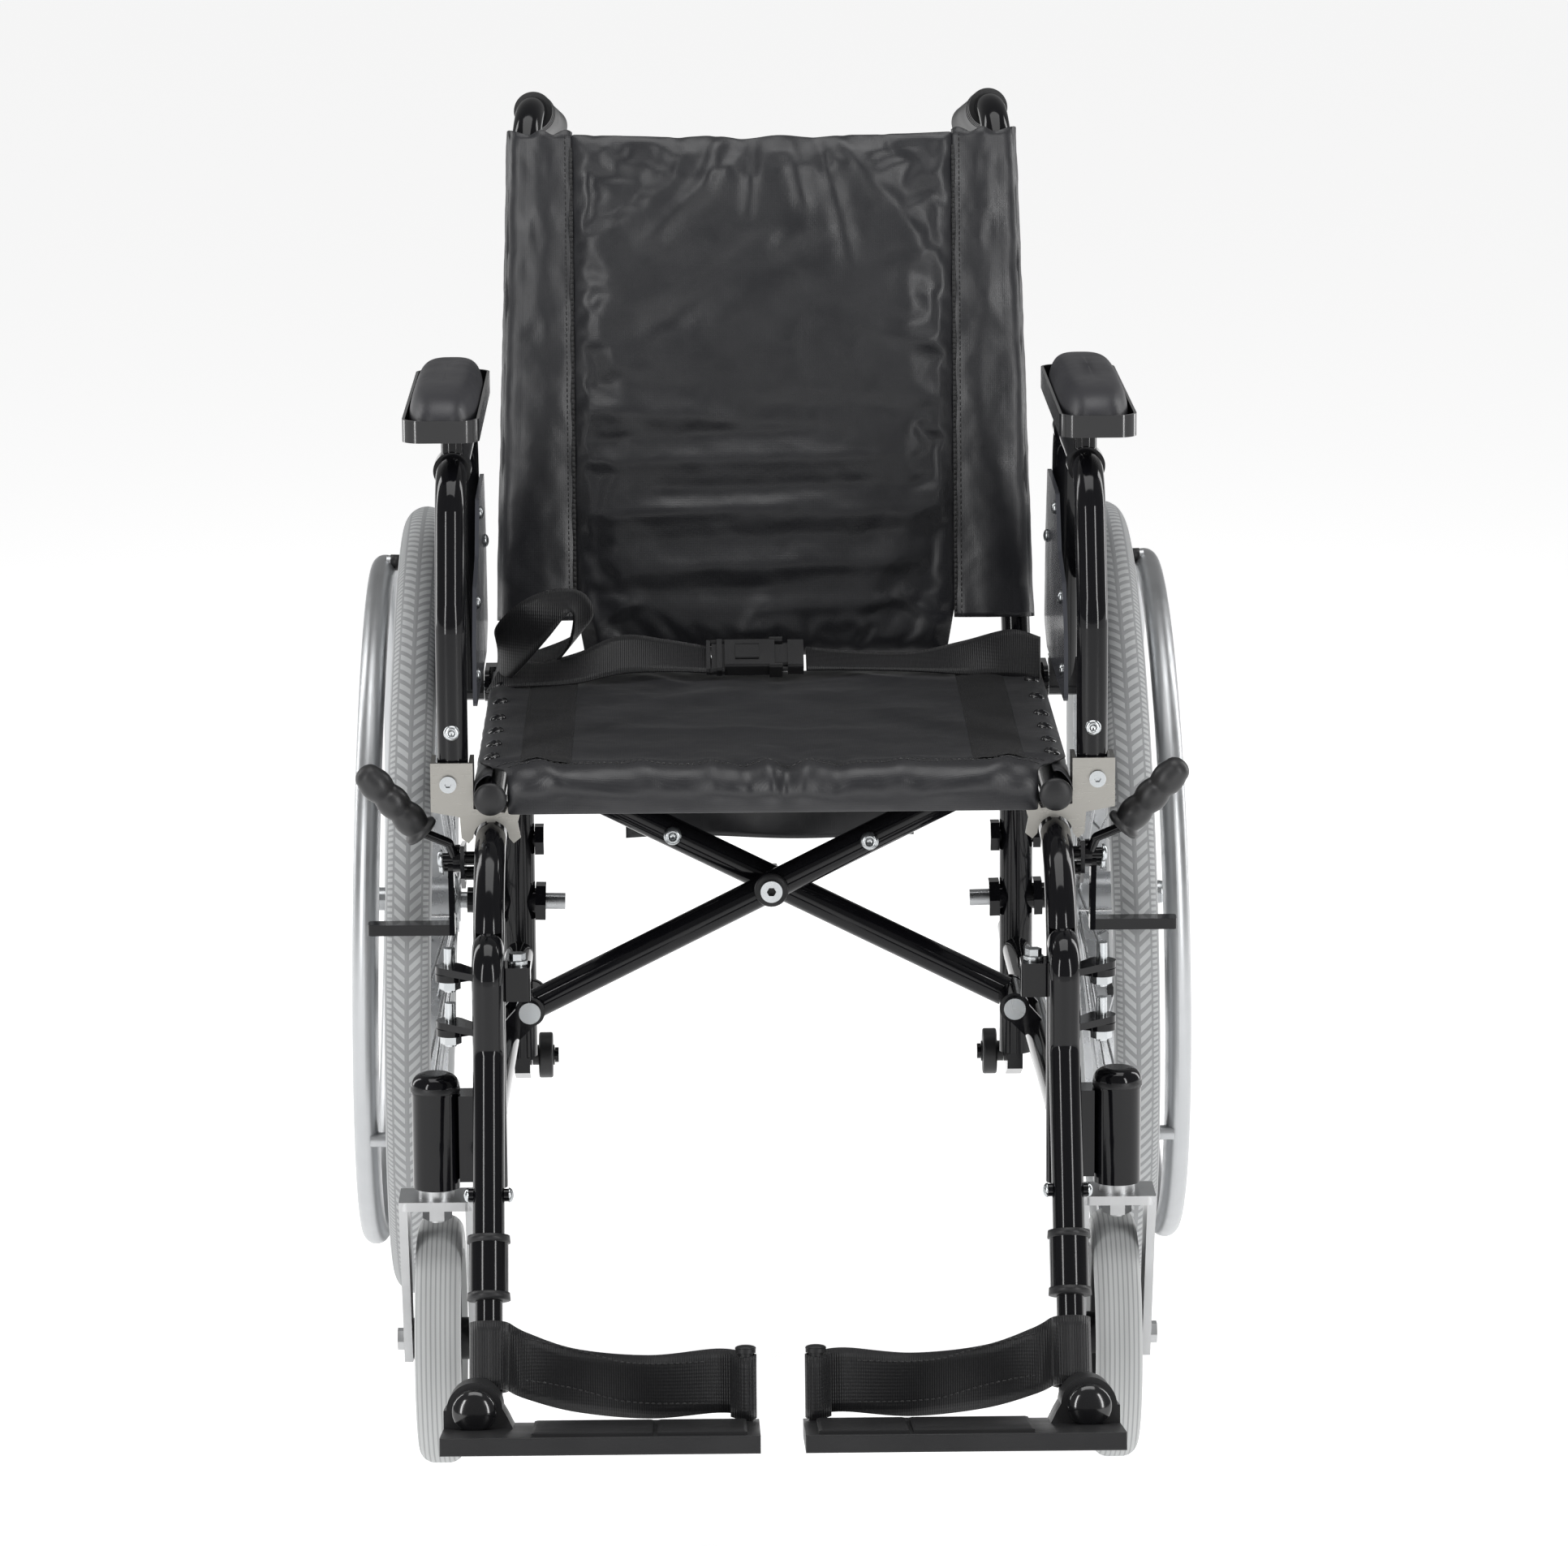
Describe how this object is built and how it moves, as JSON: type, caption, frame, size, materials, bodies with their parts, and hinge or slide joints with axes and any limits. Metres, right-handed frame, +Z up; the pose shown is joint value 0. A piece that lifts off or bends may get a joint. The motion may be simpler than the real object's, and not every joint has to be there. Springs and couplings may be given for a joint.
{
  "type": "folding manual wheelchair",
  "caption": "Folding self-propelled wheelchair with cross brace, cloth seat and back, flip-back armrests and swing-away footrests.",
  "frame": {"origin": "middle of the footprint at floor level: halfway across the width and halfway along the length", "axes": "+Z up, front of the chair toward -Y, the user's left toward +X"},
  "size_m": [0.6296, 1.0698, 0.921],
  "materials": {
    "frame_paint": "gloss",
    "zinc": "bright zinc",
    "bracket_steel": "brushed",
    "fork_metal": "satin",
    "handrim_metal": "satin",
    "wheel_metal": "satin",
    "tyre_grey": "matte",
    "grip_rubber": "matte",
    "plastic_black": "fine grain",
    "gloss_black": "gloss",
    "pad_foam": "fine grain",
    "panel_smoke": "gloss",
    "nylon_cloth": "woven nylon",
    "webbing": "ribbed weave"
  },
  "bodies": {
    "frame_right": {"side_frame_right": "frame_paint", "back_cane_right": "frame_paint", "push_grip_right": "grip_rubber", "seat_bracket_right": "bracket_steel", "axle_receiver_right": "frame_paint", "frame_fasteners_right": "zinc", "caster_housing_right": "frame_paint", "brake_base_right": "frame_paint", "back_sling": "nylon_cloth"},
    "brace_front": {"brace_front": "frame_paint", "brace_bolt": "zinc"},
    "brace_rear": {"brace_rear": "frame_paint"},
    "frame_left": {"side_frame_left": "frame_paint", "back_cane_left": "frame_paint", "push_grip_left": "grip_rubber", "seat_bracket_left": "bracket_steel", "axle_receiver_left": "frame_paint", "frame_fasteners_left": "zinc", "caster_housing_left": "frame_paint", "brake_base_left": "frame_paint"},
    "seat": {"seat_sling": "nylon_cloth", "seat_belt": "webbing", "belt_buckle": "gloss_black", "under_seat_flap": "nylon_cloth"},
    "wheel_left": {"tyre_left": "tyre_grey", "rim_left": "wheel_metal", "handrim_left": "handrim_metal"},
    "caster_fork_left": {"caster_fork_left": "fork_metal"},
    "caster_wheel_left": {"caster_tyre_left": "tyre_grey", "caster_hub_left": "plastic_black"},
    "hanger_left": {"hanger_left": "frame_paint"},
    "footrest_left": {"footrest_tube_left": "frame_paint"},
    "footplate_left": {"footplate_left": "plastic_black", "heel_strap_left": "webbing"},
    "brake_lever_left": {"brake_lever_left": "zinc", "brake_grip_left": "grip_rubber"},
    "brake_shoe_left": {"brake_shoe_left": "frame_paint"},
    "armrest_left": {"arm_tube_left": "frame_paint", "arm_tray_left": "gloss_black", "arm_pad_left": "pad_foam", "side_panel_left": "panel_smoke"},
    "roller_left": {"transit_roller_left": "grip_rubber"},
    "wheel_right": {"tyre_right": "tyre_grey", "rim_right": "wheel_metal", "handrim_right": "handrim_metal"},
    "caster_fork_right": {"caster_fork_right": "fork_metal"},
    "caster_wheel_right": {"caster_tyre_right": "tyre_grey", "caster_hub_right": "plastic_black"},
    "hanger_right": {"hanger_right": "frame_paint"},
    "footrest_right": {"footrest_tube_right": "frame_paint"},
    "footplate_right": {"footplate_right": "plastic_black", "heel_strap_right": "webbing"},
    "brake_lever_right": {"brake_lever_right": "zinc", "brake_grip_right": "grip_rubber"},
    "brake_shoe_right": {"brake_shoe_right": "frame_paint"},
    "armrest_right": {"arm_tube_right": "frame_paint", "arm_tray_right": "gloss_black", "arm_pad_right": "pad_foam", "side_panel_right": "panel_smoke"},
    "roller_right": {"transit_roller_right": "grip_rubber"}
  },
  "joints": [
    {"name": "fold", "type": "hinge", "parent": "frame_right", "child": "brace_front", "pos_m": [-0.178, -0.02, 0.282], "axis": [0, -1, 0], "range_deg": [0, 44], "deforming": ["seat_sling", "back_sling", "seat_belt", "belt_buckle", "under_seat_flap"]},
    {"name": "brace_cross", "type": "hinge", "parent": "brace_front", "child": "brace_rear", "pos_m": [0, -0.02, 0.371], "axis": [0, -1, 0], "range_deg": [-88, 0]},
    {"name": "frame_left_fold", "type": "hinge", "parent": "brace_rear", "child": "frame_left", "pos_m": [0.178, -0.02, 0.282], "axis": [0, -1, 0], "range_deg": [0, 44]},
    {"name": "seat_level", "type": "hinge", "parent": "brace_front", "child": "seat", "pos_m": [0.2, 0, 0.471], "axis": [0, -1, 0], "range_deg": [-44, 0]},
    {"name": "wheel_left_spin", "type": "hinge", "parent": "frame_left", "child": "wheel_left", "pos_m": [0.267, 0.23, 0.30493], "axis": [0.9998, 0, 0.0218], "continuous": true},
    {"name": "caster_left_swivel", "type": "hinge", "parent": "frame_left", "child": "caster_fork_left", "pos_m": [0.239, -0.27, 0.21], "axis": [0, 0, 1], "continuous": true},
    {"name": "caster_left_spin", "type": "hinge", "parent": "caster_fork_left", "child": "caster_wheel_left", "pos_m": [0.239, -0.233, 0.088], "axis": [1, 0, 0], "continuous": true},
    {"name": "hanger_left_swing", "type": "hinge", "parent": "frame_left", "child": "hanger_left", "pos_m": [0.227, -0.28, 0.345], "axis": [0, 0, 1], "range_deg": [0, 90]},
    {"name": "footrest_left_length", "type": "slide", "parent": "hanger_left", "child": "footrest_left", "axis": [0, -0.4226, -0.9063], "range_m": [-0.01, 0.025]},
    {"name": "footplate_left_flip", "type": "hinge", "parent": "footrest_left", "child": "footplate_left", "pos_m": [0.208, -0.44, 0.1], "axis": [0, 0.9781, -0.2079], "range_deg": [0, 102], "deforming": ["heel_strap_left"]},
    {"name": "brake_left_lever", "type": "hinge", "parent": "frame_left", "child": "brake_lever_left", "pos_m": [0.227, -0.124, 0.414], "axis": [1, 0, 0], "range_deg": [0, 40]},
    {"name": "brake_left_shoe", "type": "hinge", "parent": "frame_left", "child": "brake_shoe_left", "pos_m": [0.232, -0.104, 0.404], "axis": [1, 0, 0], "range_deg": [0, 18]},
    {"name": "armrest_left_flip", "type": "hinge", "parent": "frame_left", "child": "armrest_left", "pos_m": [0.227, 0.195, 0.48], "axis": [-1, 0, 0], "range_deg": [0, 85]},
    {"name": "roller_left_spin", "type": "hinge", "parent": "frame_left", "child": "roller_left", "pos_m": [0.175, 0.285, 0.166], "axis": [1, 0, 0], "continuous": true},
    {"name": "wheel_right_spin", "type": "hinge", "parent": "frame_right", "child": "wheel_right", "pos_m": [-0.267, 0.23, 0.30493], "axis": [-0.9998, 0, 0.0218], "continuous": true},
    {"name": "caster_right_swivel", "type": "hinge", "parent": "frame_right", "child": "caster_fork_right", "pos_m": [-0.239, -0.27, 0.21], "axis": [0, 0, 1], "continuous": true},
    {"name": "caster_right_spin", "type": "hinge", "parent": "caster_fork_right", "child": "caster_wheel_right", "pos_m": [-0.239, -0.233, 0.088], "axis": [1, 0, 0], "continuous": true},
    {"name": "hanger_right_swing", "type": "hinge", "parent": "frame_right", "child": "hanger_right", "pos_m": [-0.227, -0.28, 0.345], "axis": [0, 0, -1], "range_deg": [0, 90]},
    {"name": "footrest_right_length", "type": "slide", "parent": "hanger_right", "child": "footrest_right", "axis": [0, -0.4226, -0.9063], "range_m": [-0.01, 0.025]},
    {"name": "footplate_right_flip", "type": "hinge", "parent": "footrest_right", "child": "footplate_right", "pos_m": [-0.208, -0.44, 0.1], "axis": [0, -0.9781, 0.2079], "range_deg": [0, 102], "deforming": ["heel_strap_right"]},
    {"name": "brake_right_lever", "type": "hinge", "parent": "frame_right", "child": "brake_lever_right", "pos_m": [-0.227, -0.124, 0.414], "axis": [1, 0, 0], "range_deg": [0, 40]},
    {"name": "brake_right_shoe", "type": "hinge", "parent": "frame_right", "child": "brake_shoe_right", "pos_m": [-0.232, -0.104, 0.404], "axis": [1, 0, 0], "range_deg": [0, 18]},
    {"name": "armrest_right_flip", "type": "hinge", "parent": "frame_right", "child": "armrest_right", "pos_m": [-0.227, 0.195, 0.48], "axis": [-1, 0, 0], "range_deg": [0, 85]},
    {"name": "roller_right_spin", "type": "hinge", "parent": "frame_right", "child": "roller_right", "pos_m": [-0.175, 0.285, 0.166], "axis": [1, 0, 0], "continuous": true}
  ],
  "couplings": [
    {"joint": "brace_cross", "follows": "fold", "ratio": -2},
    {"joint": "frame_left_fold", "follows": "fold", "ratio": 1},
    {"joint": "seat_level", "follows": "fold", "ratio": -1},
    {"joint": "footplate_left_flip", "follows": "fold", "ratio": 2.3},
    {"joint": "brake_left_shoe", "follows": "brake_left_lever", "ratio": 0.45},
    {"joint": "footplate_right_flip", "follows": "fold", "ratio": 2.3},
    {"joint": "brake_right_shoe", "follows": "brake_right_lever", "ratio": 0.45}
  ]
}
